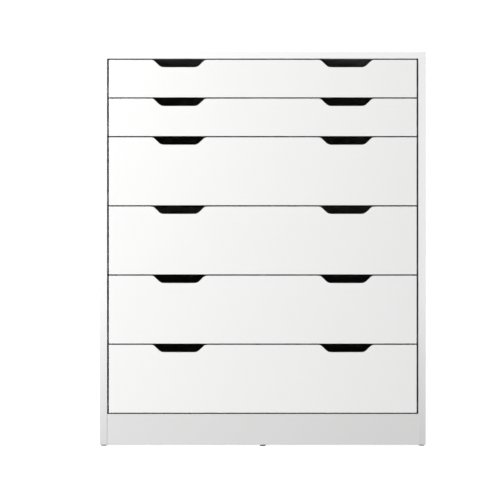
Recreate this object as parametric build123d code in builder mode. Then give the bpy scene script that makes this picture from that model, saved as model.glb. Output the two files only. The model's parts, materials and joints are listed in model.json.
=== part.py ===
"""Tall chest of six full-width drawers: two shallow ones over four deep ones.

A flat-pack carcass of white board, 20 mm thick at the sides and 18 mm elsewhere, stands on six nail-in
glides. Its fronts are inset between the side panels and lie flush with them, and each has two finger
cut-outs in its top edge. Every drawer is a
box of 12 mm boards with a 5 mm bottom, carried on a pair of steel roller runners.

Frame: millimetres, +Z up, the front faces -Y, and the origin is on the floor below the middle of the
chest. Drawers are numbered from 1 at the top to 6 at the bottom.
"""

import os
from math import radians, sqrt, tan
from typing import NamedTuple

from build123d import *

os.makedirs("parts", exist_ok=True)

# ---------------------------------------------------------------- driving dimensions: carcass
WIDTH = 900.0
DEPTH = 480.0
BOARD = 18.0
SIDE_BOARD = 20.0
GLIDE_HEIGHT = 3.5
PLINTH_HEIGHT = 85.0
PLINTH_SETBACK = 2.0
EDGE_RADIUS = 0.6
RAIL_HEIGHT = 68.0
MIDDLE_RAIL_BOTTOM = 620.0
RAIL_REAR_GAP = 1.0  # room for the joining strip between a rail and the back panels

# back panels, held in grooves near the rear edge
BACK_THICKNESS = 3.0
BACK_INSET = 10.0  # from the rear edge to the back face of the panels
BACK_BOTTOM = 20.0
GROOVE_PLAY = 0.2
SIDE_GROOVE_DEPTH = 7.0
TOP_GROOVE_DEPTH = 6.0
STRIP_WEB = 1.6
STRIP_FLANGE_WIDTH = 18.0
STRIP_WALL = 0.8
STRIP_PLAY = 0.05
STRIP_SIDE_PLAY = 0.1  # between the strip's web and a panel
STRIP_TOP_PLAY = 0.3
PANEL_PLAY = 0.5  # between a panel's edge and the end of its groove

# ---------------------------------------------------------------- driving dimensions: drawers
SHALLOW_FRONT = 103.5
DEEP_FRONT = 187.5
FRONT_HEIGHTS = [SHALLOW_FRONT] * 2 + [DEEP_FRONT] * 4  # drawers 1 to 6
FRONT_GAP = 3.5  # between two fronts, and above and below them
FRONT_SIDE_GAP = 5.0
SHALLOW_BOX = 62.0
DEEP_BOX = 140.0
BOX_BOARD = 12.0
BOX_LENGTH = 400.0
BOX_RISE = 14.0  # from a front's lower edge to its box's lower edge
BOX_EDGE_RADIUS = 1.5
BOTTOM_THICKNESS = 5.0
BOTTOM_RISE = 9.0  # from the box's lower edge to the groove
BOTTOM_GROOVE = 5.2
BOTTOM_GROOVE_DEPTH = 5.0
BOTTOM_TONGUE = 4.5  # how far the bottom enters its grooves

# finger cut-outs in the top edge of each front
CUTOUT_OFFSET = 231.0  # from the middle of the front to the middle of a cut-out
CUTOUT_MOUTH = 143.0
CUTOUT_DEPTH = 20.5
CUTOUT_SLOPE = 43.5
CUTOUT_MOUTH_RADIUS = 14.0
CUTOUT_FLOOR_RADIUS = 20.0

# ---------------------------------------------------------------- driving dimensions: roller runners
RUNNER_SPACE = 12.5  # between the carcass side and the drawer side
RUNNER_LENGTH = 400.0
RUNNER_STEEL = 1.2
RUNNER_SETBACK = 3.0  # behind the fronts' back face
RUNNER_DROP = 4.0  # the channel's lower edge, below the box's lower edge
CHANNEL_CLEAR_HEIGHT = 16.6
CHANNEL_FLANGE = 9.0
LIP_WIDTH = 9.5
UNDER_FLANGE = 11.0  # how far the drawer member reaches under the box side
DRAWER_MEMBER_LENGTH = 395.0
ROLLER_RADIUS = 8.0
ROLLER_WIDTH = 6.6
ROLLER_INSET = 2.3  # from the carcass side to the roller's near face
ROLLER_PLAY = 0.15
ROLLER_SIDE_PLAY = 0.2
STOP_PLAY = 0.5  # between a roller and a stop, at the end of the travel
ROLLER_RIM_RADIUS = 0.8
PIN_RADIUS = 2.5
BORE_RADIUS = 2.55
RIVET_HEAD_RADIUS = 3.6
RIVET_HEAD = 0.6
FRONT_ROLLER_SETBACK = 10.0
REAR_ROLLER_SETBACK = 12.0
FRONT_ROLLER_LIFT = 0.8  # the front roller's top, above the channel
TRAVEL = 300.0
STOP_TAB_DROP = 4.0
CARCASS_SCREW_SETBACKS = (37.0, 165.0, 357.0)
DRAWER_SCREW_SETBACKS = (30.0, 190.0, 340.0)
DRAWER_SCREW_RISE = 7.0

# ---------------------------------------------------------------- driving dimensions: fittings


class CamFitting(NamedTuple):
    """One size of cam and bolt, for one thickness of board."""

    board: float
    radius: float
    pocket_radius: float
    pocket_depth: float
    thickness: float
    mouth_radius: float
    cross: tuple  # length, width and depth of the driver cross
    reach: float  # from the cam's centre to the joint
    head: tuple  # radius and length
    neck: tuple
    shank_radius: float
    passage_radius: float
    thread: tuple


CARCASS_CAM = CamFitting(
    board=BOARD,
    radius=7.4,
    pocket_radius=7.6,
    pocket_depth=12.8,
    thickness=12.3,
    mouth_radius=3.0,
    cross=(8.0, 1.5, 1.6),
    reach=34.0,
    head=(2.8, 3.0),
    neck=(1.9, 8.0),
    shank_radius=3.4,
    passage_radius=3.7,
    thread=(3.0, 10.5),
)
DRAWER_CAM = CamFitting(
    board=BOX_BOARD,
    radius=5.8,
    pocket_radius=6.0,
    pocket_depth=9.8,
    thickness=9.4,
    mouth_radius=2.6,
    cross=(6.0, 1.2, 1.4),
    reach=24.0,
    head=(2.4, 2.4),
    neck=(1.5, 6.0),
    shank_radius=2.4,
    passage_radius=2.7,
    thread=(2.4, 10.5),
)
CAM_SINK = 0.2  # the cam's face, below the board's face
THREAD_HOLE_PLAY = 0.1
HOLE_EXTRA_DEPTH = 0.5


class Screw(NamedTuple):
    """A flat-headed screw; each measure is a radius and a length, and the head lies flush."""

    head: tuple
    shank: tuple


CARCASS_RUNNER_SCREW = Screw(head=(3.0, RUNNER_STEEL), shank=(2.0, 12.0))
DRAWER_RUNNER_SCREW = Screw(head=(3.0, RUNNER_STEEL), shank=(1.8, 9.0))
BOX_BACK_SCREW = Screw(head=(3.4, 2.6), shank=(1.9, 32.0))
SCREW_PLAY = 0.1
SCREW_CROSS = (3.6, 0.9)  # length and width of the driver cross
SCREW_CROSS_DEPTH = 0.7
SHALLOW_FIXING_RISES = (32.0,)  # drawer cams and back screws, above the box's lower edge
DEEP_FIXING_RISES = (38.0, 112.0)
DOWEL_RADIUS = 4.0
DOWEL_HOLE_RADIUS = 4.1
DOWEL_IN_HOST = 18.0
DOWEL_IN_MATE = 12.0
DOWEL_CHAMFER = 1.0
GLIDE_RADIUS = 8.6
GLIDE_FOOT_RADIUS = 6.8
GLIDE_DOME = (8.1, 1.4)  # a point on the dome: its radius and height
GLIDE_NAIL_RADIUS = 0.9
GLIDE_NAIL_HOLE_RADIUS = 1.0
GLIDE_NAIL_LENGTH = 15.0
GLIDE_NAIL_POINT = 2.0
GLIDE_END_DISTANCE = 25.0

# where the carcass's cams and dowels stand
TOP_CAM_Y = (-185.0, 150.0)
TOP_DOWEL_Y = (-135.0, 100.0)
BOTTOM_CAM_Y = (-150.0, 160.0)
BOTTOM_DOWEL_Y = (-100.0, 110.0)
PLINTH_DOWEL_RISES = (18.0, 62.0)
RAIL_DOWEL_DROP = 14.0  # below a rail's upper edge

# ---------------------------------------------------------------- planes and levels worked out from them
FRONT_Y = -DEPTH / 2
REAR_Y = DEPTH / 2
INNER_X = WIDTH / 2 - SIDE_BOARD
SIDE_MID_X = WIDTH / 2 - SIDE_BOARD / 2
SIDE_CAM_X = INNER_X + CARCASS_CAM.board / 2
CARCASS_BOTTOM = GLIDE_HEIGHT
PLINTH_TOP = CARCASS_BOTTOM + PLINTH_HEIGHT
TOP_UNDERSIDE = PLINTH_TOP + sum(FRONT_HEIGHTS) + FRONT_GAP * (len(FRONT_HEIGHTS) + 1)
HEIGHT = TOP_UNDERSIDE + BOARD

PLINTH_FRONT_Y = FRONT_Y + PLINTH_SETBACK
PLINTH_BACK_Y = PLINTH_FRONT_Y + BOARD
BOTTOM_PANEL_Z = PLINTH_TOP - BOARD
BACK_REAR_Y = REAR_Y - BACK_INSET
BACK_FRONT_Y = BACK_REAR_Y - BACK_THICKNESS
RAIL_BACK_Y = BACK_FRONT_Y - RAIL_REAR_GAP
RAIL_FRONT_Y = RAIL_BACK_Y - BOARD
RAIL_BOTTOMS = [CARCASS_BOTTOM, MIDDLE_RAIL_BOTTOM, TOP_UNDERSIDE - RAIL_HEIGHT]

FRONT_BACK_Y = FRONT_Y + BOARD
FRONT_WIDTH = 2 * (INNER_X - FRONT_SIDE_GAP)
BOX_OUTER_X = INNER_X - RUNNER_SPACE
BOX_INNER_X = BOX_OUTER_X - BOX_BOARD
BOX_REAR_Y = FRONT_BACK_Y + BOX_LENGTH
BACK_SCREW_Y = BOX_REAR_Y - BOX_BOARD / 2

RUNNER_FRONT_Y = FRONT_BACK_Y + RUNNER_SETBACK
RUNNER_REAR_Y = RUNNER_FRONT_Y + RUNNER_LENGTH
DRAWER_MEMBER_REAR_Y = RUNNER_FRONT_Y + DRAWER_MEMBER_LENGTH
FRONT_ROLLER_Y = RUNNER_FRONT_Y + FRONT_ROLLER_SETBACK
REAR_ROLLER_Y = DRAWER_MEMBER_REAR_Y - REAR_ROLLER_SETBACK
DRAWER_SCREW_Y = [RUNNER_FRONT_Y + setback for setback in DRAWER_SCREW_SETBACKS]
# heights of the runner's surfaces above the box's lower edge
CHANNEL_FLOOR = RUNNER_STEEL - RUNNER_DROP
CHANNEL_CEILING = CHANNEL_FLOOR + CHANNEL_CLEAR_HEIGHT
CHANNEL_TOP = CHANNEL_CEILING + RUNNER_STEEL
REAR_ROLLER_Z = CHANNEL_FLOOR + ROLLER_RADIUS + ROLLER_PLAY
FRONT_ROLLER_Z = CHANNEL_TOP + FRONT_ROLLER_LIFT - ROLLER_RADIUS
LIP_UNDERSIDE = CHANNEL_TOP + FRONT_ROLLER_LIFT + ROLLER_PLAY

SIDES = (-1, 1)  # left and right, as the sign of x
TOLERANCE = 0.01


def front_levels():
    """The lower edge of each front, for drawers 1 to 6."""
    levels = []
    top = TOP_UNDERSIDE
    for height in FRONT_HEIGHTS:
        top -= FRONT_GAP + height
        levels.append(top)
    return levels


FRONT_BOTTOMS = front_levels()


def save(builder, name):
    """Labels a finished sub-part and writes its STEP file."""
    builder.part.label = name
    export_step(builder.part, f"parts/{name}.step")


def block(x_range, y_range, z_range, mode=Mode.ADD):
    """A box between two corners, added to or cut from the current part."""
    spans = [high - low for low, high in (x_range, y_range, z_range)]
    middle = [(low + high) / 2 for low, high in (x_range, y_range, z_range)]
    with Locations(Location(tuple(middle))):
        Box(*spans, mode=mode)


def mirrored(sign, inner, outer):
    """An x range on one side of the middle plane, from two distances to that plane."""
    return tuple(sorted((sign * inner, sign * outer)))


# ---------------------------------------------------------------- carcass joints
# A cam joint: the cam sits in the host board's face, and the bolt runs from it into the mate.
# Each entry is (host, mate, centre of the cam on the bolt's line, way to the mate, way out of the pocket).
# A dowel joint is (host, mate, point on the joint, way to the mate).


def sides_of(sign):
    return "side_panel_left" if sign < 0 else "side_panel_right"


def cam_joints():
    """Every cam fitting in the carcass."""
    joints = []
    for sign in SIDES:
        side = sides_of(sign)
        outward = Vector(sign, 0, 0)
        for y in TOP_CAM_Y:
            centre = Vector(sign * SIDE_CAM_X, y, TOP_UNDERSIDE - CARCASS_CAM.reach)
            joints.append((side, "top_panel", centre, Vector(0, 0, 1), -outward))
        for y in BOTTOM_CAM_Y:
            centre = Vector(sign * (INNER_X - CARCASS_CAM.reach), y, BOTTOM_PANEL_Z + BOARD / 2)
            joints.append(("bottom_panel", side, centre, outward, Vector(0, 0, -1)))
        plinth_mid = Vector(0, PLINTH_FRONT_Y + BOARD / 2, CARCASS_BOTTOM + PLINTH_HEIGHT / 2)
        centre = plinth_mid + outward * (INNER_X - CARCASS_CAM.reach)
        joints.append(("plinth_board", side, centre, outward, Vector(0, 1, 0)))
        for z in RAIL_BOTTOMS:
            rail_mid = Vector(0, RAIL_FRONT_Y + BOARD / 2, z + RAIL_HEIGHT / 2)
            centre = rail_mid + outward * (INNER_X - CARCASS_CAM.reach)
            joints.append(("rear_rails", side, centre, outward, Vector(0, -1, 0)))
    return joints


def dowel_joints():
    """Every dowel in the carcass."""
    joints = []
    for sign in SIDES:
        side = sides_of(sign)
        outward = Vector(sign, 0, 0)
        for y in TOP_DOWEL_Y:
            point = Vector(sign * SIDE_MID_X, y, TOP_UNDERSIDE)
            joints.append((side, "top_panel", point, Vector(0, 0, 1)))
        for y in BOTTOM_DOWEL_Y:
            point = Vector(sign * INNER_X, y, BOTTOM_PANEL_Z + BOARD / 2)
            joints.append(("bottom_panel", side, point, outward))
        for rise in PLINTH_DOWEL_RISES:
            point = Vector(sign * INNER_X, PLINTH_FRONT_Y + BOARD / 2, CARCASS_BOTTOM + rise)
            joints.append(("plinth_board", side, point, outward))
        for z in RAIL_BOTTOMS:
            point = Vector(sign * INNER_X, RAIL_FRONT_Y + BOARD / 2, z + RAIL_HEIGHT - RAIL_DOWEL_DROP)
            joints.append(("rear_rails", side, point, outward))
    return joints


def carcass_screw_places():
    """The y and z of each screw that holds a carcass member, the same at both sides."""
    middle = (CHANNEL_FLOOR + CHANNEL_CEILING) / 2
    return [
        (RUNNER_FRONT_Y + setback, bottom + BOX_RISE + middle)
        for bottom in FRONT_BOTTOMS
        for setback in CARCASS_SCREW_SETBACKS
    ]


CAM_JOINTS = cam_joints()
DOWEL_JOINTS = dowel_joints()
CARCASS_SCREW_PLACES = carcass_screw_places()


def drill_cam(size, centre, to_mate, mouth):
    """Cuts a host board for one cam fitting: the cam's pocket and the passage for its bolt."""
    with Locations(Plane(origin=centre + mouth * (size.board / 2), z_dir=mouth)):
        Hole(size.pocket_radius, size.pocket_depth)
    with Locations(Plane(origin=centre + to_mate * size.reach, z_dir=to_mate)):
        Hole(size.passage_radius, size.reach)


def drill_bolt(size, centre, to_mate):
    """Cuts a mate board for one cam fitting: the blind hole that holds the bolt's thread."""
    radius, length = size.thread
    with Locations(Plane(origin=centre + to_mate * size.reach, z_dir=-to_mate)):
        Hole(radius + THREAD_HOLE_PLAY, length + HOLE_EXTRA_DEPTH)


def drill_hole(origin, outward, size):
    """Cuts a blind or through hole for a screw's head or shank, with its play."""
    radius, length = size
    with Locations(Plane(origin=origin, z_dir=outward)):
        Hole(radius + SCREW_PLAY, length)


def drill_joints(board):
    """Cuts one carcass board's share of the cam pockets, bolt holes and dowel holes."""
    for host, mate, centre, to_mate, mouth in CAM_JOINTS:
        if board == host:
            drill_cam(CARCASS_CAM, centre, to_mate, mouth)
        if board == mate:
            drill_bolt(CARCASS_CAM, centre, to_mate)
    for host, mate, point, to_mate in DOWEL_JOINTS:
        if board == host:
            with Locations(Plane(origin=point, z_dir=to_mate)):
                Hole(DOWEL_HOLE_RADIUS, DOWEL_IN_HOST + HOLE_EXTRA_DEPTH)
        if board == mate:
            with Locations(Plane(origin=point, z_dir=-to_mate)):
                Hole(DOWEL_HOLE_RADIUS, DOWEL_IN_MATE + HOLE_EXTRA_DEPTH)


# ---------------------------------------------------------------- glides
GLIDE_ENDS_Y = (FRONT_Y + GLIDE_END_DISTANCE, REAR_Y - GLIDE_END_DISTANCE)
SIDE_GLIDES = [(sign * SIDE_MID_X, y) for sign in SIDES for y in GLIDE_ENDS_Y]
MIDDLE_GLIDES = [(0.0, PLINTH_FRONT_Y + BOARD / 2), (0.0, RAIL_FRONT_Y + BOARD / 2)]
GLIDE_PLACES = SIDE_GLIDES + MIDDLE_GLIDES


def drill_glides(x_range, y_range):
    """Cuts the nail holes of the glides that stand under one board."""
    for x, y in GLIDE_PLACES:
        if x_range[0] < x < x_range[1] and y_range[0] < y < y_range[1]:
            with Locations(Plane(origin=(x, y, CARCASS_BOTTOM), z_dir=(0, 0, -1))):
                Hole(GLIDE_NAIL_HOLE_RADIUS, GLIDE_NAIL_LENGTH + HOLE_EXTRA_DEPTH)


def make_glide_feet():
    """Six domed glides, each with the nail that holds it."""
    with BuildPart() as glide:
        with BuildSketch(Plane.XZ) as profile:
            with BuildLine():
                bottom = Line((0, 0), (GLIDE_FOOT_RADIUS, 0))
                dome = ThreePointArc(bottom @ 1, GLIDE_DOME, (GLIDE_RADIUS, GLIDE_HEIGHT))
                Polyline(
                    dome @ 1,
                    (GLIDE_NAIL_RADIUS, GLIDE_HEIGHT),
                    (GLIDE_NAIL_RADIUS, GLIDE_HEIGHT + GLIDE_NAIL_LENGTH - GLIDE_NAIL_POINT),
                    (0, GLIDE_HEIGHT + GLIDE_NAIL_LENGTH),
                    (0, 0),
                )
            make_face()
        revolve(axis=Axis.Z)
    with BuildPart() as glide_feet:
        with Locations(*[(x, y, 0) for x, y in GLIDE_PLACES]):
            add(glide.part)
    save(glide_feet, "glide_feet")


# ---------------------------------------------------------------- carcass boards
def make_side_panel(sign):
    """A side panel: rounded front edge, groove for the back, and its half of the joints."""
    name = sides_of(sign)
    x_range = mirrored(sign, INNER_X, WIDTH / 2)
    with BuildPart() as side_panel:
        block(x_range, (FRONT_Y, REAR_Y), (CARCASS_BOTTOM, TOP_UNDERSIDE))
        front_face = side_panel.faces().sort_by(Axis.Y)[0]
        fillet(front_face.edges().filter_by(Axis.Z), EDGE_RADIUS)
        block(
            mirrored(sign, INNER_X, INNER_X + SIDE_GROOVE_DEPTH),
            (BACK_FRONT_Y - GROOVE_PLAY, BACK_REAR_Y + GROOVE_PLAY),
            (CARCASS_BOTTOM, TOP_UNDERSIDE),
            mode=Mode.SUBTRACT,
        )
        drill_joints(name)
        drill_glides(x_range, (FRONT_Y, REAR_Y))
        for y, z in CARCASS_SCREW_PLACES:
            drill_hole((sign * INNER_X, y, z), (-sign, 0, 0), CARCASS_RUNNER_SCREW.shank)
    save(side_panel, name)


def make_top_panel():
    """The top, laid over both side panels, with all its edges rounded."""
    with BuildPart() as top_panel:
        block((-WIDTH / 2, WIDTH / 2), (FRONT_Y, REAR_Y), (TOP_UNDERSIDE, HEIGHT))
        fillet(top_panel.edges(), EDGE_RADIUS)
        block(
            (-INNER_X - SIDE_GROOVE_DEPTH, INNER_X + SIDE_GROOVE_DEPTH),
            (BACK_FRONT_Y - GROOVE_PLAY, BACK_REAR_Y + GROOVE_PLAY),
            (TOP_UNDERSIDE, TOP_UNDERSIDE + TOP_GROOVE_DEPTH),
            mode=Mode.SUBTRACT,
        )
        drill_joints("top_panel")
    save(top_panel, "top_panel")


def make_bottom_panel():
    """The carcass floor, between the sides and behind the plinth."""
    with BuildPart() as bottom_panel:
        block((-INNER_X, INNER_X), (PLINTH_BACK_Y, RAIL_BACK_Y), (BOTTOM_PANEL_Z, PLINTH_TOP))
        drill_joints("bottom_panel")
    save(bottom_panel, "bottom_panel")


def make_plinth_board():
    """The plinth, set back a little between the sides, down to the level of their lower ends."""
    y_range = (PLINTH_FRONT_Y, PLINTH_BACK_Y)
    with BuildPart() as plinth_board:
        block((-INNER_X, INNER_X), y_range, (CARCASS_BOTTOM, PLINTH_TOP))
        front_face = plinth_board.faces().sort_by(Axis.Y)[0]
        fillet(front_face.edges(), EDGE_RADIUS)
        drill_joints("plinth_board")
        drill_glides((-INNER_X, INNER_X), y_range)
    save(plinth_board, "plinth_board")


def make_rear_rails():
    """Three equal rails in front of the back panels: at the floor, at mid-height and under the top."""
    y_range = (RAIL_FRONT_Y, RAIL_BACK_Y)
    with BuildPart() as rear_rails:
        for level, z in enumerate(RAIL_BOTTOMS):
            top = BOTTOM_PANEL_Z if level == 0 else z + RAIL_HEIGHT
            block((-INNER_X, INNER_X), y_range, (z, top))
        drill_joints("rear_rails")
        drill_glides((-INNER_X, INNER_X), y_range)
    save(rear_rails, "rear_rails")


def make_back_panels():
    """Two hardboard halves, each in a side groove, in the top groove and in the joining strip."""
    outer_x = INNER_X + SIDE_GROOVE_DEPTH - PANEL_PLAY
    top_z = TOP_UNDERSIDE + TOP_GROOVE_DEPTH - PANEL_PLAY
    with BuildPart() as back_panels:
        for sign in SIDES:
            block(
                mirrored(sign, STRIP_WEB / 2 + STRIP_SIDE_PLAY, outer_x),
                (BACK_FRONT_Y, BACK_REAR_Y),
                (BACK_BOTTOM, top_z),
            )
    save(back_panels, "back_panels")


def make_back_joining_strip():
    """The H-section strip that joins the two back panels down the middle."""
    front_y = BACK_FRONT_Y - STRIP_PLAY - STRIP_WALL
    rear_y = BACK_REAR_Y + STRIP_PLAY + STRIP_WALL
    middle_y = (front_y + rear_y) / 2
    flange_y = (rear_y - front_y - STRIP_WALL) / 2
    with BuildPart() as back_joining_strip:
        with BuildSketch(Plane.XY.offset(BACK_BOTTOM)):
            with Locations((0, middle_y)):
                Rectangle(STRIP_WEB, rear_y - front_y)
            with Locations((0, middle_y - flange_y), (0, middle_y + flange_y)):
                Rectangle(STRIP_FLANGE_WIDTH, STRIP_WALL)
        extrude(amount=TOP_UNDERSIDE - STRIP_TOP_PLAY - BACK_BOTTOM)
    save(back_joining_strip, "back_joining_strip")


# ---------------------------------------------------------------- carcass fittings
def make_cam(size):
    """A zinc cam on its own axis: a disc with a driver cross and a radial mouth towards +X."""
    cross_length, cross_width, cross_depth = size.cross
    face = Plane.XY.offset(size.board / 2 - CAM_SINK)
    head_length = size.head[1]
    with BuildPart() as cam:
        with BuildSketch(face):
            Circle(size.radius)
        extrude(amount=-size.thickness)
        with BuildSketch(face):
            Rectangle(cross_length, cross_width)
            Rectangle(cross_width, cross_length)
        extrude(amount=-cross_depth, mode=Mode.SUBTRACT)
        with BuildSketch(Plane.YZ.offset(-head_length)):
            Circle(size.mouth_radius)
        extrude(amount=size.radius + head_length, mode=Mode.SUBTRACT)
    return cam.part


def make_bolt(size):
    """A cam's steel bolt along +X: a head in the cam, a neck, a shank and a threaded end."""
    head_radius, head_length = size.head
    neck_radius, neck_length = size.neck
    thread_radius, thread_length = size.thread
    with BuildPart() as bolt:
        with BuildSketch(Plane.YZ.offset(-head_length / 2)):
            Circle(head_radius)
        extrude(amount=head_length)
        with BuildSketch(Plane.YZ):
            Circle(neck_radius)
        extrude(amount=neck_length)
        with BuildSketch(Plane.YZ.offset(neck_length)):
            Circle(size.shank_radius)
        extrude(amount=size.reach - neck_length)
        with BuildSketch(Plane.YZ.offset(size.reach)):
            Circle(thread_radius)
        extrude(amount=thread_length)
    return bolt.part


def make_screw(size):
    """A flat-headed screw that points down -Z, with its head's face at the origin."""
    head_radius, head_length = size.head
    shank_radius, shank_length = size.shank
    cross_length, cross_width = SCREW_CROSS
    with BuildPart() as screw:
        with BuildSketch():
            Circle(head_radius)
        extrude(amount=-head_length)
        with BuildSketch(Plane.XY.offset(-head_length)):
            Circle(shank_radius)
        extrude(amount=-shank_length)
        chamfer(screw.faces().sort_by(Axis.Z)[0].edges(), shank_radius / 2)
        with BuildSketch():
            Rectangle(cross_length, cross_width)
            Rectangle(cross_width, cross_length)
        extrude(amount=-SCREW_CROSS_DEPTH, mode=Mode.SUBTRACT)
    return screw.part


def cam_place(centre, to_mate, mouth):
    """Where a cam and its bolt stand: +X points at the mate and +Z out of the pocket."""
    return Plane(origin=centre, x_dir=to_mate, z_dir=mouth).location


def screw_place(x, y, z, outward):
    """Where a screw stands, with its head's face at a point."""
    return Plane(origin=(x, y, z), z_dir=(outward, 0, 0)).location


def make_carcass_fixings():
    """The carcass's cams and bolts, and the screws that hold the carcass members to its sides."""
    cams = [cam_place(centre, to_mate, mouth) for _, _, centre, to_mate, mouth in CAM_JOINTS]
    face = INNER_X - RUNNER_STEEL
    screws = [screw_place(sign * face, y, z, -sign) for sign in SIDES for y, z in CARCASS_SCREW_PLACES]
    cam, bolt, screw = make_cam(CARCASS_CAM), make_bolt(CARCASS_CAM), make_screw(CARCASS_RUNNER_SCREW)
    with BuildPart() as carcass_fixings:
        with Locations(*cams):
            add(cam)
            add(bolt)
        with Locations(*screws):
            add(screw)
    save(carcass_fixings, "carcass_fixings")


def make_dowels():
    """The beech dowels of the carcass, with chamfered ends."""
    with BuildPart() as dowel:
        with BuildSketch(Plane.XY.offset(-DOWEL_IN_HOST)):
            Circle(DOWEL_RADIUS)
        extrude(amount=DOWEL_IN_HOST + DOWEL_IN_MATE)
        chamfer(dowel.edges().filter_by(GeomType.CIRCLE), DOWEL_CHAMFER)
    places = [Plane(origin=point, z_dir=to_mate).location for _, _, point, to_mate in DOWEL_JOINTS]
    with BuildPart() as dowels:
        with Locations(*places):
            add(dowel.part)
    save(dowels, "dowels")


# ---------------------------------------------------------------- roller runners
def at_side(sign, distance):
    """The x of a plane that lies a distance in from one side panel's inner face."""
    return sign * (INNER_X - distance)


def runner_block(sign, u_range, y_range, z_range, mode=Mode.ADD):
    """A block whose x range is given as distances in from the side panel."""
    block(mirrored(sign, INNER_X - u_range[1], INNER_X - u_range[0]), y_range, z_range, mode)


def rivet(sign, y, z, u_range, radius):
    """A round pin across the runner space, from one distance to another."""
    low, high = mirrored(sign, INNER_X - u_range[1], INNER_X - u_range[0])
    with Locations(Plane(origin=((low + high) / 2, y, z), z_dir=(1, 0, 0))):
        Cylinder(radius, high - low)


def carcass_channel(sign, box_z):
    """One carcass member: a C channel with a pin for its front roller and a stop at each end."""
    low = box_z - RUNNER_DROP
    floor = box_z + CHANNEL_FLOOR
    ceiling = box_z + CHANNEL_CEILING
    top = box_z + CHANNEL_TOP
    flange_start = RUNNER_FRONT_Y + 2 * FRONT_ROLLER_SETBACK
    inner_head = ROLLER_INSET - ROLLER_SIDE_PLAY
    outer_head = ROLLER_INSET + ROLLER_WIDTH + ROLLER_SIDE_PLAY
    runner_block(sign, (0, RUNNER_STEEL), (RUNNER_FRONT_Y, RUNNER_REAR_Y), (low, top))
    runner_block(sign, (0, CHANNEL_FLANGE), (RUNNER_FRONT_Y, RUNNER_REAR_Y), (low, floor))
    runner_block(sign, (0, CHANNEL_FLANGE), (flange_start, RUNNER_REAR_Y), (ceiling, top))
    # the closing stop, behind the rear roller when the drawer is shut
    stop_y = REAR_ROLLER_Y + ROLLER_RADIUS + STOP_PLAY
    runner_block(sign, (0, CHANNEL_FLANGE), (stop_y, stop_y + RUNNER_STEEL), (low, top))
    # the opening stop, a tab bent down in front of the rear roller when the drawer is out
    tab_low = ceiling - STOP_TAB_DROP
    above_axle = tab_low - (box_z + REAR_ROLLER_Z)
    tab_y = REAR_ROLLER_Y - TRAVEL - sqrt(ROLLER_RADIUS**2 - above_axle**2) - STOP_PLAY
    runner_block(sign, (RUNNER_STEEL, CHANNEL_FLANGE), (tab_y - RUNNER_STEEL, tab_y), (tab_low, top))
    front_pin = (FRONT_ROLLER_Y, box_z + FRONT_ROLLER_Z)
    rivet(sign, *front_pin, (0, outer_head + RIVET_HEAD), PIN_RADIUS)
    rivet(sign, *front_pin, (outer_head, outer_head + RIVET_HEAD), RIVET_HEAD_RADIUS)
    rivet(sign, *front_pin, (0, inner_head), RIVET_HEAD_RADIUS)


def make_carcass_runners():
    """The twelve carcass members, one at each side for each drawer."""
    with BuildPart() as carcass_runners:
        for bottom in FRONT_BOTTOMS:
            for sign in SIDES:
                carcass_channel(sign, bottom + BOX_RISE)
        for sign in SIDES:
            for y, z in CARCASS_SCREW_PLACES:
                drill_hole((at_side(sign, RUNNER_STEEL), y, z), (-sign, 0, 0), CARCASS_RUNNER_SCREW.head)
    save(carcass_runners, "carcass_runners")


def drawer_rail(sign, box_z):
    """One drawer member: a lip over the roller, a leg on the box side and a flange under it."""
    y_range = (RUNNER_FRONT_Y, DRAWER_MEMBER_REAR_Y)
    leg = (RUNNER_SPACE - RUNNER_STEEL, RUNNER_SPACE)
    lip_z = (box_z + LIP_UNDERSIDE, box_z + LIP_UNDERSIDE + RUNNER_STEEL)
    runner_block(sign, leg, y_range, (box_z - RUNNER_STEEL, lip_z[1]))
    runner_block(sign, (RUNNER_SPACE - LIP_WIDTH, RUNNER_SPACE), y_range, lip_z)
    under = (RUNNER_SPACE - RUNNER_STEEL, RUNNER_SPACE + UNDER_FLANGE)
    runner_block(sign, under, y_range, (box_z - RUNNER_STEEL, box_z))
    rear_pin = (REAR_ROLLER_Y, box_z + REAR_ROLLER_Z)
    inner_head = ROLLER_INSET - ROLLER_SIDE_PLAY
    outer_head = ROLLER_INSET + ROLLER_WIDTH + ROLLER_SIDE_PLAY
    rivet(sign, *rear_pin, (inner_head - RIVET_HEAD, leg[0]), PIN_RADIUS)
    rivet(sign, *rear_pin, (outer_head, leg[0]), RIVET_HEAD_RADIUS)
    rivet(sign, *rear_pin, (inner_head - RIVET_HEAD, inner_head), RIVET_HEAD_RADIUS)
    for y in DRAWER_SCREW_Y:
        place = (at_side(sign, leg[0]), y, box_z + DRAWER_SCREW_RISE)
        drill_hole(place, (sign, 0, 0), DRAWER_RUNNER_SCREW.head)


def make_drawer_runners(number, box_z):
    """The two drawer members of one drawer."""
    with BuildPart() as drawer_runners:
        for sign in SIDES:
            drawer_rail(sign, box_z)
    save(drawer_runners, f"drawer_{number}_runners")


def make_rollers(name, y, z):
    """Two nylon rollers on one axis, left and right, each turned on its own rivet."""
    starts = [sign * (INNER_X - ROLLER_INSET - ROLLER_WIDTH / 2) - ROLLER_WIDTH / 2 for sign in SIDES]
    with BuildPart() as rollers:
        for start in starts:
            with BuildSketch(Plane.YZ.offset(start)):
                with Locations((y, z)):
                    Circle(ROLLER_RADIUS)
            extrude(amount=ROLLER_WIDTH)
        fillet(rollers.edges().filter_by(GeomType.CIRCLE), ROLLER_RIM_RADIUS)
        for start in starts:
            with BuildSketch(Plane.YZ.offset(start)):
                with Locations((y, z)):
                    Circle(BORE_RADIUS)
            extrude(amount=ROLLER_WIDTH, mode=Mode.SUBTRACT)
    save(rollers, name)


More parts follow.
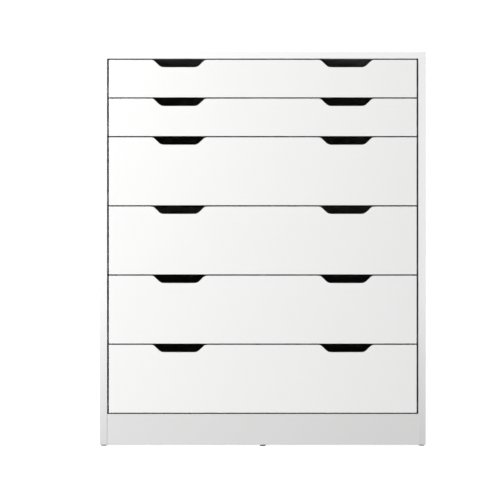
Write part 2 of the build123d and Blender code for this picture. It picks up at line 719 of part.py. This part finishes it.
# ---------------------------------------------------------------- drawers
def front_outline(height):
    """A front's face, from its lower left corner, with the two finger cut-outs in its top edge."""
    half_width = FRONT_WIDTH / 2
    half_mouth = CUTOUT_MOUTH / 2
    half_floor = half_mouth - CUTOUT_DEPTH / tan(radians(CUTOUT_SLOPE))
    points = [(-half_width, 0), (-half_width, height)]
    mouth_corners, floor_corners = [], []
    for sign in SIDES:
        middle = sign * CUTOUT_OFFSET
        mouth = [(middle - half_mouth, height), (middle + half_mouth, height)]
        floor = [(middle - half_floor, height - CUTOUT_DEPTH), (middle + half_floor, height - CUTOUT_DEPTH)]
        points += [mouth[0], *floor, mouth[1]]
        mouth_corners += mouth
        floor_corners += floor
    points += [(half_width, height), (half_width, 0)]
    return points, mouth_corners, floor_corners


def corners_at(sketch, places):
    """The vertices of a sketch that lie at these places in its plane."""
    return [
        vertex
        for vertex in sketch.vertices()
        for x, y in places
        if abs(vertex.X - x) < TOLERANCE and abs(vertex.Y - y) < TOLERANCE
    ]


def drawer_cams(box_z, rises):
    """The cam fittings between a box's sides and its front: centre, way to the front, way to the inside."""
    x = BOX_OUTER_X - BOX_BOARD / 2
    y = FRONT_BACK_Y + DRAWER_CAM.reach
    return [
        (Vector(sign * x, y, box_z + rise), Vector(0, -1, 0), Vector(-sign, 0, 0))
        for sign in SIDES
        for rise in rises
    ]


def make_front(number, bottom, height, rises):
    """A drawer front: cut-outs, rounded edges, and the groove that takes the drawer bottom."""
    points, mouth_corners, floor_corners = front_outline(height)
    back_plane = Plane(origin=(0, FRONT_BACK_Y, bottom), x_dir=(1, 0, 0), z_dir=(0, -1, 0))
    with BuildPart() as front:
        with BuildSketch(back_plane) as outline:
            with BuildLine():
                Polyline(*points, close=True)
            make_face()
            fillet(corners_at(outline, mouth_corners), CUTOUT_MOUTH_RADIUS)
            fillet(corners_at(outline, floor_corners), CUTOUT_FLOOR_RADIUS)
        extrude(amount=BOARD)
        faces = front.faces().filter_by(Axis.Y).sort_by(Axis.Y)
        fillet(faces[0].edges() + faces[-1].edges(), EDGE_RADIUS)
        groove_x = BOX_INNER_X + BOTTOM_GROOVE_DEPTH
        groove_z = bottom + BOX_RISE + BOTTOM_RISE
        block(
            (-groove_x, groove_x),
            (FRONT_BACK_Y - BOTTOM_GROOVE_DEPTH, FRONT_BACK_Y),
            (groove_z, groove_z + BOTTOM_GROOVE),
            mode=Mode.SUBTRACT,
        )
        for centre, to_front, _ in drawer_cams(bottom + BOX_RISE, rises):
            drill_bolt(DRAWER_CAM, centre, to_front)
    save(front, f"drawer_{number}_front")


def make_box_sides(number, box_z, box_height, rises):
    """The two sides of a drawer box, with rounded upper edges and grooves for the bottom."""
    groove_z = box_z + BOTTOM_RISE
    with BuildPart() as box_sides:
        for sign in SIDES:
            block(
                mirrored(sign, BOX_INNER_X, BOX_OUTER_X),
                (FRONT_BACK_Y, BOX_REAR_Y),
                (box_z, box_z + box_height),
            )
        top_edges = box_sides.edges().filter_by(Axis.Y).group_by(Axis.Z)[-1]
        fillet(top_edges, BOX_EDGE_RADIUS)
        block(
            (-BOX_INNER_X - BOTTOM_GROOVE_DEPTH, BOX_INNER_X + BOTTOM_GROOVE_DEPTH),
            (FRONT_BACK_Y, BOX_REAR_Y),
            (groove_z, groove_z + BOTTOM_GROOVE),
            mode=Mode.SUBTRACT,
        )
        for cam in drawer_cams(box_z, rises):
            drill_cam(DRAWER_CAM, *cam)
        for sign in SIDES:
            outward = (sign, 0, 0)
            for y in DRAWER_SCREW_Y:
                place = (sign * BOX_OUTER_X, y, box_z + DRAWER_SCREW_RISE)
                drill_hole(place, outward, DRAWER_RUNNER_SCREW.shank)
            for rise in rises:
                place = (sign * BOX_OUTER_X, BACK_SCREW_Y, box_z + rise)
                drill_hole(place, outward, BOX_BACK_SCREW.head)
                drill_hole(place, outward, (BOX_BACK_SCREW.shank[0], BOX_BOARD))
    save(box_sides, f"drawer_{number}_sides")


def make_box_back(number, box_z, box_height, rises):
    """The back of a drawer box, standing on the bottom between the sides."""
    head_length, shank_length = BOX_BACK_SCREW.head[1], BOX_BACK_SCREW.shank[1]
    in_back = head_length + shank_length - BOX_BOARD + HOLE_EXTRA_DEPTH
    with BuildPart() as box_back:
        block(
            (-BOX_INNER_X, BOX_INNER_X),
            (BOX_REAR_Y - BOX_BOARD, BOX_REAR_Y),
            (box_z + BOTTOM_RISE + BOTTOM_GROOVE, box_z + box_height),
        )
        top_face = box_back.faces().sort_by(Axis.Z)[-1]
        fillet(top_face.edges().filter_by(Axis.X), BOX_EDGE_RADIUS)
        for sign in SIDES:
            for rise in rises:
                place = (sign * BOX_INNER_X, BACK_SCREW_Y, box_z + rise)
                drill_hole(place, (sign, 0, 0), (BOX_BACK_SCREW.shank[0], in_back))
    save(box_back, f"drawer_{number}_back")


def make_drawer_fixings(number, box_z, rises):
    """One drawer's cams and bolts, the screws of its drawer members and those of its back."""
    cams = [cam_place(*cam) for cam in drawer_cams(box_z, rises)]
    member_face = INNER_X - RUNNER_SPACE + RUNNER_STEEL
    member_screws = [
        screw_place(sign * member_face, y, box_z + DRAWER_SCREW_RISE, sign)
        for sign in SIDES
        for y in DRAWER_SCREW_Y
    ]
    back_screws = [
        screw_place(sign * BOX_OUTER_X, BACK_SCREW_Y, box_z + rise, sign)
        for sign in SIDES
        for rise in rises
    ]
    cam, bolt = make_cam(DRAWER_CAM), make_bolt(DRAWER_CAM)
    member_screw, back_screw = make_screw(DRAWER_RUNNER_SCREW), make_screw(BOX_BACK_SCREW)
    with BuildPart() as drawer_fixings:
        with Locations(*cams):
            add(cam)
            add(bolt)
        with Locations(*member_screws):
            add(member_screw)
        with Locations(*back_screws):
            add(back_screw)
    save(drawer_fixings, f"drawer_{number}_fixings")


def make_box_bottom(number, box_z):
    """The drawer bottom, slid in from behind through three grooves and under the back."""
    low = box_z + BOTTOM_RISE + (BOTTOM_GROOVE - BOTTOM_THICKNESS) / 2
    edge_x = BOX_INNER_X + BOTTOM_TONGUE
    with BuildPart() as box_bottom:
        block((-edge_x, edge_x), (FRONT_BACK_Y - BOTTOM_TONGUE, BOX_REAR_Y), (low, low + BOTTOM_THICKNESS))
    save(box_bottom, f"drawer_{number}_bottom")


def make_drawer(number, bottom, front_height):
    """Every piece of one drawer, with the rollers that carry it."""
    box_z = bottom + BOX_RISE
    shallow = front_height == SHALLOW_FRONT
    box_height = SHALLOW_BOX if shallow else DEEP_BOX
    rises = SHALLOW_FIXING_RISES if shallow else DEEP_FIXING_RISES
    make_front(number, bottom, front_height, rises)
    make_box_sides(number, box_z, box_height, rises)
    make_box_back(number, box_z, box_height, rises)
    make_box_bottom(number, box_z)
    make_drawer_fixings(number, box_z, rises)
    make_drawer_runners(number, box_z)
    make_rollers(f"drawer_{number}_rear_rollers", REAR_ROLLER_Y, box_z + REAR_ROLLER_Z)
    make_rollers(f"carcass_rollers_{number}", FRONT_ROLLER_Y, box_z + FRONT_ROLLER_Z)


for side_sign in SIDES:
    make_side_panel(side_sign)
make_top_panel()
make_bottom_panel()
make_plinth_board()
make_rear_rails()
make_back_panels()
make_back_joining_strip()
make_glide_feet()
make_carcass_fixings()
make_dowels()
make_carcass_runners()
for index, (lower_edge, height) in enumerate(zip(FRONT_BOTTOMS, FRONT_HEIGHTS)):
    make_drawer(index + 1, lower_edge, height)
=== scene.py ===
"""Look of the tall chest of drawers: finishes, small hardware, floor, light and camera.

Everything is in metres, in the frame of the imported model: +Z up, the drawer fronts face -Y, and the
origin is on the floor below the middle of the chest.
"""

import json

from math import cos, pi, sin

import bmesh
import bpy
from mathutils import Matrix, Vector


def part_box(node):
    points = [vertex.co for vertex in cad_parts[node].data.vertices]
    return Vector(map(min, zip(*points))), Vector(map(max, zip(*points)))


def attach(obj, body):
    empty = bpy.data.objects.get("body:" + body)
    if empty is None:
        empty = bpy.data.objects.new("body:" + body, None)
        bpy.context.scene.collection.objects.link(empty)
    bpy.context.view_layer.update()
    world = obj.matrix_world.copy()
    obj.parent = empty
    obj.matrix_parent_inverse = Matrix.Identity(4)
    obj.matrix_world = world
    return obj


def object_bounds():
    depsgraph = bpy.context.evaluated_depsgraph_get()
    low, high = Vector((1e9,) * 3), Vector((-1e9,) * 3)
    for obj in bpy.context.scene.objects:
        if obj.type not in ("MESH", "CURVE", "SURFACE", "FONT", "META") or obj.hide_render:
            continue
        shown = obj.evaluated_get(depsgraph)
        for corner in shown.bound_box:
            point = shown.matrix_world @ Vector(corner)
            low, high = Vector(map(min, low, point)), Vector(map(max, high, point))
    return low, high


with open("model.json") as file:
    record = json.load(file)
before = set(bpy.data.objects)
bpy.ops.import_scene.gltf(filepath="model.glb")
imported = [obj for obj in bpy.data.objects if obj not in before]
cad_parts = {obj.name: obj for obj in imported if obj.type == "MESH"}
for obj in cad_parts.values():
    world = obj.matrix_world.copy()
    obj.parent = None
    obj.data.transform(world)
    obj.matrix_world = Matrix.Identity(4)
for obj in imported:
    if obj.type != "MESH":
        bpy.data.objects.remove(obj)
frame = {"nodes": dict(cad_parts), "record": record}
cad_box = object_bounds()

# ---------------------------------------------------------------- places taken from the frame
LOW, HIGH = (Vector(corner) for corner in cad_box)
WIDTH = HIGH.x - LOW.x
HEIGHT = HIGH.z
FRONT_Y = LOW.y
PANELS_HIGH = Vector(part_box("back_panels")[1])

# ---------------------------------------------------------------- colours, linear
FRONT_WHITE = (0.905, 0.905, 0.900)
CARCASS_WHITE = (0.880, 0.880, 0.876)
EDGING_WHITE = (0.905, 0.905, 0.902)
EDGING_SHADED_GREY = (0.690, 0.690, 0.688)  # the edging's lower ends, painted darker as painted shade near the floor
# The plinth's white is the carcass melamine painted darker, as painted shade near the floor.
PLINTH_SHADED_WHITE = (0.735, 0.735, 0.732)
FOIL_GREY = (0.600, 0.595, 0.580)
HARDBOARD_BROWN = (0.230, 0.135, 0.070)
HARDBOARD_FACE = (0.620, 0.615, 0.600)
BEECH = (0.560, 0.370, 0.210)
ZINC = (0.560, 0.560, 0.570)
POWDER_WHITE = (0.760, 0.760, 0.740)
NYLON_WHITE = (0.740, 0.730, 0.690)
GLIDE_GREY = (0.020, 0.020, 0.020)
STRIP_WHITE = (0.780, 0.780, 0.770)
FLOOR_WHITE = (0.350, 0.350, 0.350)
FLOOR_GLOW = 0.75
PURE_WHITE = (1.0, 1.0, 1.0)

# The edging is a strip glued to the carcass boards' front edges.
EDGING_THICKNESS = 0.0011
EDGING_SEAM = 0.0001
EDGING_SHADE_TOP = 0.42  # below this height the edging turns slowly greyer, as painted shade towards the floor

LINEN_THREADS = 700.0  # a metre

# Noise is seldom outside this range.
NOISE_LOW, NOISE_HIGH = 0.3, 0.7

# A surface starts to face along an axis at the first share of its normal, and fully does at the second.
FACING_NONE, FACING_FULL = 0.5, 0.6

# The Mix node's colour sockets, which have the same names as its sockets for plain values.
MIX_FIRST, MIX_SECOND, MIX_RESULT = 6, 7, 2


# ---------------------------------------------------------------- material helpers
def shade(colour, factor):
    """The colour made darker or lighter by a factor."""
    return tuple(channel * factor for channel in colour)


class Finish:
    """A material under construction: its node tree, its shader and the object's own coordinates.

    A scale is in features a metre, and a depth in metres.
    """

    def __init__(self, name):
        self.material = bpy.data.materials.new(name)
        self.material.use_nodes = True
        self.tree = self.material.node_tree
        self.shader = self.tree.nodes["Principled BSDF"]
        self.place = self.add("ShaderNodeTexCoord").outputs["Object"]

    def add(self, kind, **settings):
        """Adds a node of a kind, with settings such as its operation."""
        node = self.tree.nodes.new(kind)
        for key, value in settings.items():
            setattr(node, key, value)
        return node

    def join(self, source, target):
        """Links an output socket to an input socket."""
        self.tree.links.new(source, target)

    def along(self, vector, axis):
        """A vector's share along one axis."""
        split = self.add("ShaderNodeSeparateXYZ")
        self.join(vector, split.inputs["Vector"])
        return split.outputs[axis]

    def facing(self, axis, sign):
        """A mask of the surfaces that face one way along an axis of the object."""
        normal = self.add("ShaderNodeTexCoord").outputs["Normal"]
        return self.ramp(self.along(normal, axis), start=FACING_NONE * sign, end=FACING_FULL * sign)

    def noise(self, scale, detail=3.0, roughness=0.5, stretch=(1.0, 1.0, 1.0)):
        """Noise over the object, stretched along the axes."""
        mapping = self.add("ShaderNodeMapping")
        mapping.inputs["Scale"].default_value = stretch
        self.join(self.place, mapping.inputs["Vector"])
        node = self.add("ShaderNodeTexNoise")
        node.inputs["Scale"].default_value = scale
        node.inputs["Detail"].default_value = detail
        node.inputs["Roughness"].default_value = roughness
        self.join(mapping.outputs["Vector"], node.inputs["Vector"])
        return node.outputs["Fac"]

    def ramp(self, value, start=0.0, end=1.0, low=0.0, high=1.0):
        """Goes from low to high while the value goes from start to end, and stays there outside."""
        node = self.add("ShaderNodeMapRange")
        node.inputs["From Min"].default_value = start
        node.inputs["From Max"].default_value = end
        node.inputs["To Min"].default_value = low
        node.inputs["To Max"].default_value = high
        self.join(value, node.inputs["Value"])
        return node.outputs["Result"]

    def drift(self, scale, low, high):
        """A value that drifts between two over the object."""
        return self.ramp(self.noise(scale), low=low, high=high)

    def larger(self, first, second):
        """The larger of two values."""
        node = self.add("ShaderNodeMath", operation="MAXIMUM")
        self.join(first, node.inputs[0])
        self.join(second, node.inputs[1])
        return node.outputs["Value"]

    def mix(self, mask, first, second):
        """A colour between two, which are colours or sockets, by a mask."""
        node = self.add("ShaderNodeMix", data_type="RGBA")
        self.join(mask, node.inputs["Factor"])
        for index, colour in ((MIX_FIRST, first), (MIX_SECOND, second)):
            if isinstance(colour, tuple):
                node.inputs[index].default_value = (*colour, 1.0)
            else:
                self.join(colour, node.inputs[index])
        return node.outputs[MIX_RESULT]

    def tone(self, colour, spread, scale, **settings):
        """A colour that drifts a little lighter and darker over the object."""
        mask = self.ramp(self.noise(scale, **settings), start=NOISE_LOW, end=NOISE_HIGH)
        return self.mix(mask, shade(colour, 1.0 - spread), shade(colour, 1.0 + spread))

    def relief(self, height, depth, strength, onto=None):
        """Bumps as a height says, on top of others if any."""
        node = self.add("ShaderNodeBump")
        node.inputs["Strength"].default_value = strength
        node.inputs["Distance"].default_value = depth
        self.join(height, node.inputs["Height"])
        if onto is not None:
            self.join(onto, node.inputs["Normal"])
        return node.outputs["Normal"]

    def grain(self, scale, detail, depth, strength):
        """Bumps of even noise."""
        return self.relief(self.noise(scale, detail=detail), depth, strength)

    def complete(self, colour, roughness, normal, metallic=0.0, **constants):
        """Wires up the shader; the constants are shader inputs that are the same all over."""
        self.join(colour, self.shader.inputs["Base Color"])
        self.join(roughness, self.shader.inputs["Roughness"])
        self.join(normal, self.shader.inputs["Normal"])
        self.shader.inputs["Metallic"].default_value = metallic
        for name, value in constants.items():
            self.shader.inputs[name.replace("_", " ")].default_value = value
        return self.material


# ---------------------------------------------------------------- the finishes
def front_lacquer():
    """Smooth white lacquer with a faint orange peel."""
    finish = Finish("front_lacquer")
    colour = finish.tone(FRONT_WHITE, spread=0.006, scale=2.5)
    roughness = finish.drift(scale=9.0, low=0.26, high=0.34)
    peel = finish.grain(scale=420.0, detail=1.0, depth=0.00004, strength=0.35)
    return finish.complete(colour, roughness, peel, Coat_Weight=0.25, Coat_Roughness=0.12)


def melamine_pearl(finish):
    """The fine grain of melamine board."""
    return finish.grain(scale=900.0, detail=2.0, depth=0.00006, strength=0.45)


def carcass_melamine():
    """Satin melamine board with a pearl grain, and an edging strip with a fine seam at the front,
    painted darker towards the floor as painted shade.
    """
    finish = Finish("carcass_melamine")
    board = finish.tone(CARCASS_WHITE, spread=0.008, scale=3.0)
    seam_y = FRONT_Y + EDGING_THICKNESS
    edging_mask = finish.ramp(finish.along(finish.place, "Y"), start=seam_y + EDGING_SEAM, end=seam_y)
    # Painted shade: the edging's colour darkens towards the floor below a set height, standing in for
    # the shade there.
    painted_shade = finish.ramp(finish.along(finish.place, "Z"), start=EDGING_SHADE_TOP, end=0.0)
    edging = finish.mix(painted_shade, EDGING_WHITE, EDGING_SHADED_GREY)
    colour = finish.mix(edging_mask, board, edging)
    roughness = finish.drift(scale=14.0, low=0.40, high=0.50)
    seam = finish.relief(edging_mask, depth=0.00004, strength=0.5, onto=melamine_pearl(finish))
    return finish.complete(colour, roughness, seam)


def plinth_melamine():
    """The plinth's board: the same melamine, painted a greyer white as painted shade near the floor,
    and scuffed a little by feet and brooms.
    """
    finish = Finish("plinth_melamine")
    scuffs = finish.noise(scale=26.0, detail=5.0, roughness=0.65, stretch=(0.2, 1.0, 1.0))
    # Painted shade: the board's colour is a darker copy of the carcass white, for the shade near the
    # floor.
    board = finish.tone(PLINTH_SHADED_WHITE, spread=0.006, scale=3.0)
    marks = finish.ramp(scuffs, start=0.66, end=0.78, high=0.25)
    colour = finish.mix(marks, board, shade(PLINTH_SHADED_WHITE, 0.9))
    roughness = finish.ramp(scuffs, low=0.38, high=0.52)
    return finish.complete(colour, roughness, melamine_pearl(finish))


def drawer_foil():
    """Light grey foil, printed with a faint linen weave; raw board shows on the undersides."""
    finish = Finish("drawer_foil")
    threads_across = finish.noise(LINEN_THREADS, stretch=(0.08, 1.0, 1.0))
    threads_along = finish.noise(LINEN_THREADS, stretch=(1.0, 0.08, 0.08))
    weave = finish.larger(threads_across, threads_along)
    foil = finish.tone(FOIL_GREY, spread=0.02, scale=5.0)
    print_mask = finish.ramp(weave, start=0.5, end=0.7, high=0.10)
    printed = finish.mix(print_mask, foil, shade(FOIL_GREY, 0.8))
    raw = finish.tone(HARDBOARD_BROWN, spread=0.20, scale=260.0, detail=5.0)
    colour = finish.mix(finish.facing("Z", -1.0), printed, raw)
    roughness = finish.drift(scale=20.0, low=0.48, high=0.58)
    return finish.complete(colour, roughness, finish.relief(weave, depth=0.00005, strength=0.4))


def back_hardboard():
    """Hardboard: raw brown fibres behind, a painted light face towards the drawers."""
    finish = Finish("back_hardboard")
    fibres = finish.noise(scale=380.0, detail=6.0, roughness=0.7, stretch=(1.0, 1.0, 0.45))
    pale_mask = finish.ramp(fibres, start=0.35, end=0.65)
    raw = finish.mix(pale_mask, HARDBOARD_BROWN, shade(HARDBOARD_BROWN, 1.7))
    clouds = finish.ramp(finish.noise(scale=6.0), start=0.35, end=0.7, high=0.35)
    behind = finish.mix(clouds, raw, shade(HARDBOARD_BROWN, 0.7))
    painted = finish.tone(HARDBOARD_FACE, spread=0.02, scale=4.0)
    colour = finish.mix(finish.facing("Y", 1.0), painted, behind)
    roughness = finish.ramp(fibres, low=0.60, high=0.80)
    return finish.complete(colour, roughness, finish.relief(fibres, depth=0.00012, strength=0.6))


def beech_wood():
    """Beech with short dark flecks."""
    finish = Finish("beech_wood")
    flecks = finish.noise(scale=160.0, detail=4.0, stretch=(1.0, 1.0, 0.12))
    colour = finish.mix(finish.ramp(flecks, start=0.4, end=0.7), BEECH, shade(BEECH, 0.6))
    roughness = finish.ramp(flecks, low=0.55, high=0.70)
    return finish.complete(colour, roughness, finish.relief(flecks, depth=0.0001, strength=0.5))


def zinc_plate():
    """Zinc-plated steel with a cloudy spangle and fine scratches."""
    finish = Finish("zinc_plate")
    colour = finish.tone(ZINC, spread=0.14, scale=180.0, detail=2.0)
    scratches = finish.noise(scale=1500.0, detail=2.0, stretch=(0.1, 1.0, 1.0))
    roughness = finish.ramp(scratches, low=0.26, high=0.46)
    grooves = finish.relief(scratches, depth=0.00002, strength=0.4)
    return finish.complete(colour, roughness, grooves, metallic=1.0)


def powder_coat():
    """White epoxy powder on the runners, greyed a little in streaks along them."""
    finish = Finish("powder_coat")
    streaks = finish.noise(scale=55.0, detail=5.0, roughness=0.6, stretch=(1.0, 0.06, 1.0))
    coat = finish.tone(POWDER_WHITE, spread=0.01, scale=8.0)
    worn = finish.ramp(streaks, start=0.58, end=0.75, high=0.35)
    colour = finish.mix(worn, coat, shade(POWDER_WHITE, 0.62))
    roughness = finish.ramp(streaks, low=0.30, high=0.42)
    dimples = finish.grain(scale=650.0, detail=1.0, depth=0.00006, strength=0.5)
    return finish.complete(colour, roughness, dimples)


def nylon():
    """Off-white nylon, slightly cloudy."""
    finish = Finish("nylon")
    colour = finish.tone(NYLON_WHITE, spread=0.03, scale=90.0)
    roughness = finish.drift(scale=140.0, low=0.34, high=0.46)
    grain = finish.grain(scale=1200.0, detail=1.0, depth=0.00003, strength=0.4)
    return finish.complete(colour, roughness, grain, Subsurface_Weight=0.08)


def moulded_plastic(name, colour, specular):
    """Moulded plastic with a fine spark-eroded grain."""
    finish = Finish(name)
    cloudy = finish.tone(colour, spread=0.04, scale=30.0)
    roughness = finish.drift(scale=60.0, low=0.44, high=0.58)
    grain = finish.grain(scale=1600.0, detail=1.0, depth=0.00004, strength=0.6)
    return finish.complete(cloudy, roughness, grain, Specular_IOR_Level=specular)


def floor_panel():
    """A seamless pale studio floor, lit a little from within like a light table."""
    finish = Finish("floor_panel")
    colour = finish.tone(FLOOR_WHITE, spread=0.01, scale=1.5)
    roughness = finish.drift(scale=3.0, low=0.70, high=0.85)
    grain = finish.grain(scale=60.0, detail=3.0, depth=0.0002, strength=0.1)
    finish.shader.inputs["Emission Color"].default_value = (*PURE_WHITE, 1.0)
    return finish.complete(colour, roughness, grain, Emission_Strength=FLOOR_GLOW)


FINISHES = {
    "front_white": front_lacquer(),
    "carcass_white": carcass_melamine(),
    "drawer_box": drawer_foil(),
    "hardboard": back_hardboard(),
    "beech": beech_wood(),
    "zinc_steel": zinc_plate(),
    "runner_white": powder_coat(),
    "roller_nylon": nylon(),
    "glide_grey": moulded_plastic("glide_plastic", GLIDE_GREY, specular=0.15),
    "strip_white": moulded_plastic("strip_plastic", STRIP_WHITE, specular=0.45),
}

# Nodes whose finish isn't the one of their slot.
NODE_FINISHES = {"plinth_board": plinth_melamine()}


def dress_cad_nodes():
    """Gives every carried-over node its own finish, or that of its slot."""
    for entry in frame["record"]["subparts"]:
        node = frame["nodes"][entry["node"]]
        finish = NODE_FINISHES.get(entry["node"], FINISHES[entry["material_slot"]])
        if not node.material_slots:
            node.data.materials.append(finish)
        for slot in node.material_slots:
            slot.link = "OBJECT"
            slot.material = finish


def add_to_scene(name, data):
    """Puts a mesh, a light or a camera into the scene as an object."""
    made = bpy.data.objects.new(name, data)
    bpy.context.scene.collection.objects.link(made)
    return made


def mesh_from(shape, name, finish):
    """A mesh of the finished shape in one finish."""
    mesh = bpy.data.meshes.new(name)
    shape.to_mesh(mesh)
    shape.free()
    mesh.materials.append(finish)
    return mesh


# ---------------------------------------------------------------- nails in the back
NAIL_ROWS = (0.046, 0.654, HIGH.z - 0.052)  # heights, each on one of the three rear rails
NAILS_IN_ROW = 7  # in each half of the back
NAIL_END_DISTANCE = 0.030
NAIL_RADIUS = 0.0024
NAIL_DOME = 0.0008
NAIL_SINK = 0.0004
NAIL_SEGMENTS = 16
NAIL_RINGS = ((1.0, 0.0), (0.86, 0.55), (0.50, 0.90))  # share of the radius, share of the dome


def nail_ring(shape, x, z, radius, y):
    """A ring of points around a nail's axis."""
    angles = [2 * pi * step / NAIL_SEGMENTS for step in range(NAIL_SEGMENTS)]
    return [shape.verts.new((x + radius * cos(angle), y, z + radius * sin(angle))) for angle in angles]


def add_nail_head(shape, x, z):
    """One domed nail head that stands on the back face of a panel, closed behind it."""
    y = PANELS_HIGH.y
    rings = [nail_ring(shape, x, z, NAIL_RADIUS, y - NAIL_SINK)]
    for share, rise in NAIL_RINGS:
        rings.append(nail_ring(shape, x, z, NAIL_RADIUS * share, y + NAIL_DOME * rise))
    tip = shape.verts.new((x, y + NAIL_DOME, z))
    for step in range(NAIL_SEGMENTS):
        after = (step + 1) % NAIL_SEGMENTS
        for lower, upper in zip(rings, rings[1:]):
            shape.faces.new((lower[step], lower[after], upper[after], upper[step]))
        shape.faces.new((rings[-1][step], rings[-1][after], tip))
    shape.faces.new(rings[0])


def make_back_nails():
    """Three rows of nails that hold the back panels to the rear rails."""
    shape = bmesh.new()
    outer = PANELS_HIGH.x - NAIL_END_DISTANCE
    pitch = (outer - NAIL_END_DISTANCE) / (NAILS_IN_ROW - 1)
    for sign in (-1, 1):
        for step in range(NAILS_IN_ROW):
            for z in NAIL_ROWS:
                add_nail_head(shape, sign * (outer - pitch * step), z)
    bmesh.ops.recalc_face_normals(shape, faces=shape.faces)
    for face in shape.faces:
        face.smooth = True
    nails = add_to_scene("back_nails", mesh_from(shape, "back_nails", FINISHES["zinc_steel"]))
    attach(nails, "carcass")


# ---------------------------------------------------------------- floor, light and camera
FLOOR_HALF_WIDTH = 1000.0  # so wide that its edge is out of sight
FLOOR_SQUARES = 4
CAMERA_DISTANCE = 8.0
SENSOR = 36.0  # its width, in millimetres
CHEST_WIDTH_IN_VIEW = 0.6519  # share of the picture's width
CHEST_MIDDLE_RIGHT = 0.0255  # of the picture's centre, as a share of its width
CHEST_MIDDLE_UP = 0.0019  # of the picture's centre, as a share of its width
DOME_LEVEL = 0.62
DOME_SLOPE = (0.12, 0.44, 0.06)  # how the dome's light changes towards +X, +Y and +Z
KEY_PLACE = (-2.3, -4.0, 1.8)
KEY_SIZE = (1.6, 1.6)
KEY_POWER = 173.0
REAR_PLACE = (3.2, 2.6, 2.4)
REAR_SIZE = (2.0, 2.0)
REAR_POWER = 60.0


def make_floor():
    """A wide flat floor, whose glow doesn't light the matt surfaces above it."""
    shape = bmesh.new()
    bmesh.ops.create_grid(
        shape, x_segments=FLOOR_SQUARES, y_segments=FLOOR_SQUARES, size=FLOOR_HALF_WIDTH
    )
    floor = add_to_scene("studio_floor", mesh_from(shape, "studio_floor", floor_panel()))
    floor.visible_diffuse = False


def make_world():
    """A white studio dome, brightest behind the chest."""
    world = bpy.data.worlds.new("studio")
    world.use_nodes = True
    nodes, links = world.node_tree.nodes, world.node_tree.links
    direction = nodes.new("ShaderNodeTexCoord").outputs["Generated"]
    slope = nodes.new("ShaderNodeVectorMath")
    slope.operation = "DOT_PRODUCT"
    slope.inputs[1].default_value = DOME_SLOPE
    links.new(direction, slope.inputs[0])
    level = nodes.new("ShaderNodeMath")
    level.operation = "ADD"
    level.inputs[1].default_value = DOME_LEVEL
    links.new(slope.outputs["Value"], level.inputs[0])
    background = nodes["Background"]
    background.inputs["Color"].default_value = (*PURE_WHITE, 1.0)
    links.new(level.outputs["Value"], background.inputs["Strength"])
    bpy.context.scene.world = world


def make_area_light(name, place, size, power):
    """A soft box that faces the middle of the chest."""
    light = bpy.data.lights.new(name, "AREA")
    light.shape = "RECTANGLE"
    light.size, light.size_y = size
    light.energy = power
    lamp = add_to_scene(name, light)
    lamp.location = place
    towards = Vector((0.0, 0.0, HEIGHT / 2)) - Vector(place)
    lamp.rotation_euler = towards.to_track_quat("-Z", "Y").to_euler()
    lamp.visible_camera = False


def make_camera():
    """A level camera in front of the chest, far enough away for a nearly flat view."""
    scale = CHEST_WIDTH_IN_VIEW / WIDTH  # share of the picture per metre, at the fronts
    data = bpy.data.cameras.new("camera")
    data.sensor_width = SENSOR
    data.lens = SENSOR * scale * CAMERA_DISTANCE
    camera = add_to_scene("camera", data)
    x = -CHEST_MIDDLE_RIGHT / scale
    z = HEIGHT / 2 - CHEST_MIDDLE_UP / scale
    camera.location = (x, FRONT_Y - CAMERA_DISTANCE, z)
    camera.rotation_euler = (pi / 2, 0.0, 0.0)
    bpy.context.scene.camera = camera


dress_cad_nodes()
make_back_nails()
make_floor()
make_world()
make_area_light("key", KEY_PLACE, KEY_SIZE, KEY_POWER)
make_area_light("rear", REAR_PLACE, REAR_SIZE, REAR_POWER)
make_camera()
bpy.context.scene.view_settings.view_transform = "Standard"
